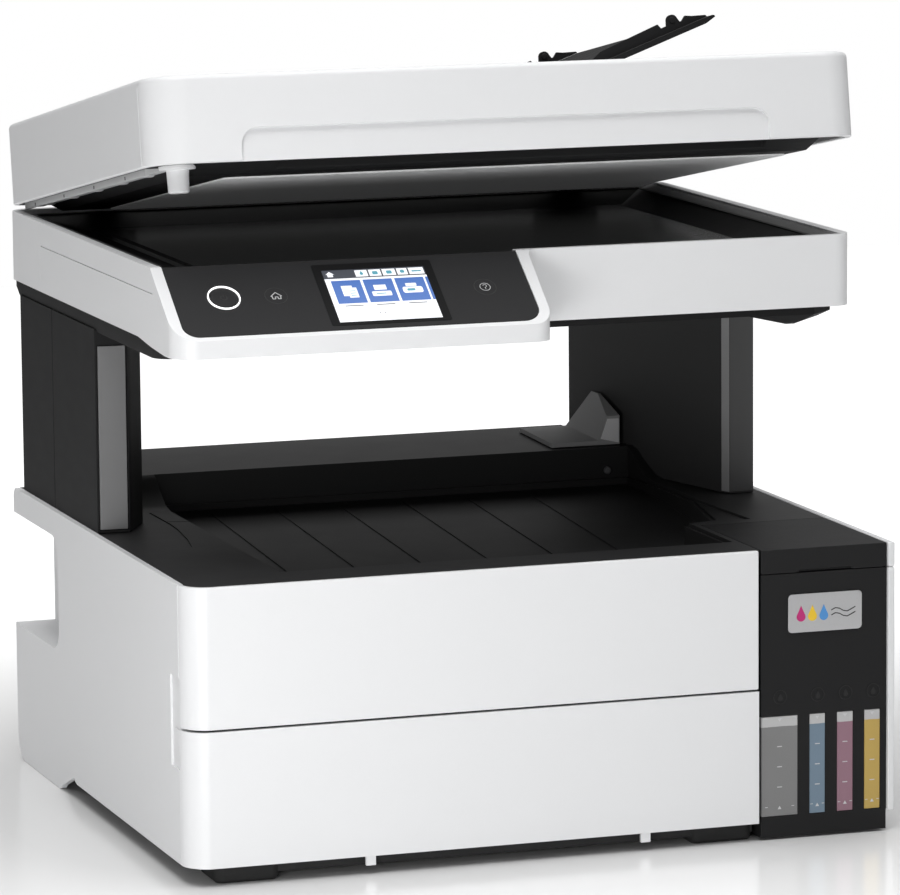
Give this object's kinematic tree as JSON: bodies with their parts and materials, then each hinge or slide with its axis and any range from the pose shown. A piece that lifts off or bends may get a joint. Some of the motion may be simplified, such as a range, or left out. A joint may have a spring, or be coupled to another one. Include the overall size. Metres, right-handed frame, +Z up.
{
  "type": "inkjet printer",
  "caption": "Multifunction ink-tank printer: white shell, dark open output bay, sloped touch panel, flatbed scanner with half-open feeder lid, front paper cassette and ink windows.",
  "frame": {"origin": "floor level under the middle of the printer's footprint", "axes": "+X to the printer's right as seen from the front, +Y to the rear, +Z up"},
  "size_m": [0.375, 0.347, 0.4142],
  "materials": {
    "white_shell": "satin white moulded plastic",
    "charcoal_shell": "fine-textured charcoal moulded plastic",
    "black_gloss": "polished black plastic",
    "grey_plastic": "mid-grey moulded plastic",
    "mat_grey": "grey film over foam",
    "rubber": "black rubber",
    "glass": "flat polished glass",
    "steel": "ground steel rod",
    "badge_metal": "brushed foil plate",
    "circuit_board": "green solder mask",
    "ink_black": "translucent tank, black ink",
    "ink_cyan": "translucent tank, cyan ink",
    "ink_magenta": "translucent tank, magenta ink",
    "ink_yellow": "translucent tank, yellow ink"
  },
  "bodies": {
    "base": {"left_side_panel": "white_shell", "right_side_panel": "white_shell", "front_panel": "white_shell", "rear_panel": "white_shell", "scanner_frame": "white_shell", "base_pan": "charcoal_shell", "deck": "charcoal_shell", "output_tray": "charcoal_shell", "left_column": "charcoal_shell", "right_column": "charcoal_shell", "scanner_base": "charcoal_shell", "tank_housing": "black_gloss", "scanner_bed": "black_gloss", "control_panel": "black_gloss", "port_block": "grey_plastic", "output_paper_guide": "grey_plastic", "foot_front_left": "rubber", "foot_front_right": "rubber", "foot_rear_left": "rubber", "foot_rear_right": "rubber", "ac_inlet": "rubber", "carriage_belt": "rubber", "scanner_glass": "glass", "touch_screen": "glass", "guide_rail": "steel", "badge": "badge_metal", "main_board": "circuit_board", "ink_tank_black": "ink_black", "ink_tank_cyan": "ink_cyan", "ink_tank_magenta": "ink_magenta", "ink_tank_yellow": "ink_yellow"},
    "lid": {"lid_shell": "white_shell", "lid_underside": "white_shell", "document_mat": "mat_grey", "lid_hinge_left": "charcoal_shell", "lid_hinge_right": "charcoal_shell", "feeder_tray": "charcoal_shell"},
    "feeder_cover": {"feeder_cover": "white_shell"},
    "feeder_roller": {"feeder_roller": "rubber"},
    "input_tray": {"input_tray": "charcoal_shell"},
    "input_guide_front": {"input_guide_front": "charcoal_shell"},
    "input_guide_rear": {"input_guide_rear": "charcoal_shell"},
    "cassette": {"cassette_front": "white_shell", "cassette_tray": "charcoal_shell"},
    "cassette_guide_left": {"cassette_guide_left": "grey_plastic"},
    "cassette_guide_right": {"cassette_guide_right": "grey_plastic"},
    "cassette_end_guide": {"cassette_end_guide": "grey_plastic"},
    "tank_cover": {"tank_cover": "black_gloss"},
    "cap_black": {"tank_cap_black": "ink_black"},
    "cap_cyan": {"tank_cap_cyan": "ink_cyan"},
    "cap_magenta": {"tank_cap_magenta": "ink_magenta"},
    "cap_yellow": {"tank_cap_yellow": "ink_yellow"},
    "rear_cover": {"rear_cover": "charcoal_shell"},
    "maintenance_box": {"maintenance_box": "charcoal_shell"},
    "power_button": {"power_button": "grey_plastic"},
    "scan_bar": {"scan_bar": "grey_plastic"},
    "print_carriage": {"print_carriage": "charcoal_shell"},
    "feed_roller": {"feed_roller": "rubber", "drive_gear": "grey_plastic"},
    "pickup_roller": {"pickup_roller": "rubber"}
  },
  "joints": [
    {"name": "lid_lift", "type": "hinge", "parent": "base", "child": "lid", "pos_m": [0, 0.1698, 0.3038], "axis": [-1, 0, 0], "range_deg": [-9.7, 60]},
    {"name": "feeder_cover_lift", "type": "hinge", "parent": "lid", "child": "feeder_cover", "pos_m": [-0.153, 0.04022, 0.36653], "axis": [0, -0.9857, 0.1685], "range_deg": [0, 85]},
    {"name": "feeder_roller_spin", "type": "hinge", "parent": "lid", "child": "feeder_roller", "pos_m": [-0.0695, 0.03894, 0.35904], "axis": [0, 0.9857, -0.1685], "continuous": true},
    {"name": "input_tray_fold", "type": "hinge", "parent": "lid", "child": "input_tray", "pos_m": [0.0625, 0.04027, 0.36683], "axis": [0, -0.9857, 0.1685], "range_deg": [0, 160]},
    {"name": "input_guides", "type": "slide", "parent": "input_tray", "child": "input_guide_front", "axis": [0, 0.9857, -0.1685], "range_m": [0, 0.055]},
    {"name": "input_guide_rear_slide", "type": "slide", "parent": "input_tray", "child": "input_guide_rear", "axis": [0, -0.9857, 0.1685], "range_m": [0, 0.055]},
    {"name": "cassette_pull", "type": "slide", "parent": "base", "child": "cassette", "axis": [0, -1, 0], "range_m": [0, 0.28]},
    {"name": "cassette_guides", "type": "slide", "parent": "cassette", "child": "cassette_guide_left", "axis": [1, 0, 0], "range_m": [0, 0.045]},
    {"name": "cassette_guide_right_slide", "type": "slide", "parent": "cassette", "child": "cassette_guide_right", "axis": [-1, 0, 0], "range_m": [0, 0.045]},
    {"name": "cassette_end_guide_slide", "type": "slide", "parent": "cassette", "child": "cassette_end_guide", "axis": [0, -1, 0], "range_m": [0, 0.07]},
    {"name": "tank_cover_lift", "type": "hinge", "parent": "base", "child": "tank_cover", "pos_m": [0.115, -0.0888, 0.1495], "axis": [-1, 0, 0], "range_deg": [0, 95]},
    {"name": "cap_black_flip", "type": "hinge", "parent": "base", "child": "cap_black", "pos_m": [0.12775, -0.1165, 0.108], "axis": [-1, 0, 0], "range_deg": [0, 100]},
    {"name": "cap_cyan_flip", "type": "hinge", "parent": "base", "child": "cap_cyan", "pos_m": [0.1459, -0.1165, 0.108], "axis": [-1, 0, 0], "range_deg": [0, 100]},
    {"name": "cap_magenta_flip", "type": "hinge", "parent": "base", "child": "cap_magenta", "pos_m": [0.16125, -0.1165, 0.108], "axis": [-1, 0, 0], "range_deg": [0, 100]},
    {"name": "cap_yellow_flip", "type": "hinge", "parent": "base", "child": "cap_yellow", "pos_m": [0.17505, -0.1165, 0.108], "axis": [-1, 0, 0], "range_deg": [0, 100]},
    {"name": "rear_cover_pull", "type": "slide", "parent": "base", "child": "rear_cover", "axis": [0, 1, 0], "range_m": [0, 0.06]},
    {"name": "maintenance_box_pull", "type": "slide", "parent": "base", "child": "maintenance_box", "axis": [0, 1, 0], "range_m": [0, 0.09]},
    {"name": "power_button_press", "type": "slide", "parent": "base", "child": "power_button", "axis": [0, 0.5821, -0.8131], "range_m": [0, 0.0008], "stiffness_N_per_m": 900},
    {"name": "scan_bar_travel", "type": "slide", "parent": "base", "child": "scan_bar", "axis": [1, 0, 0], "range_m": [0, 0.27]},
    {"name": "carriage_travel", "type": "slide", "parent": "base", "child": "print_carriage", "axis": [-1, 0, 0], "range_m": [0, 0.19]},
    {"name": "feed_roller_spin", "type": "hinge", "parent": "base", "child": "feed_roller", "pos_m": [-0.1575, 0.0225, 0.096], "axis": [1, 0, 0], "continuous": true},
    {"name": "pickup_roller_spin", "type": "hinge", "parent": "base", "child": "pickup_roller", "pos_m": [-0.0345, 0.0945, 0.072], "axis": [1, 0, 0], "continuous": true}
  ],
  "couplings": [
    {"joint": "input_guide_rear_slide", "follows": "input_guides", "ratio": 1},
    {"joint": "cassette_guide_right_slide", "follows": "cassette_guides", "ratio": 1},
    {"joint": "pickup_roller_spin", "follows": "feed_roller_spin", "ratio": -0.6667}
  ]
}
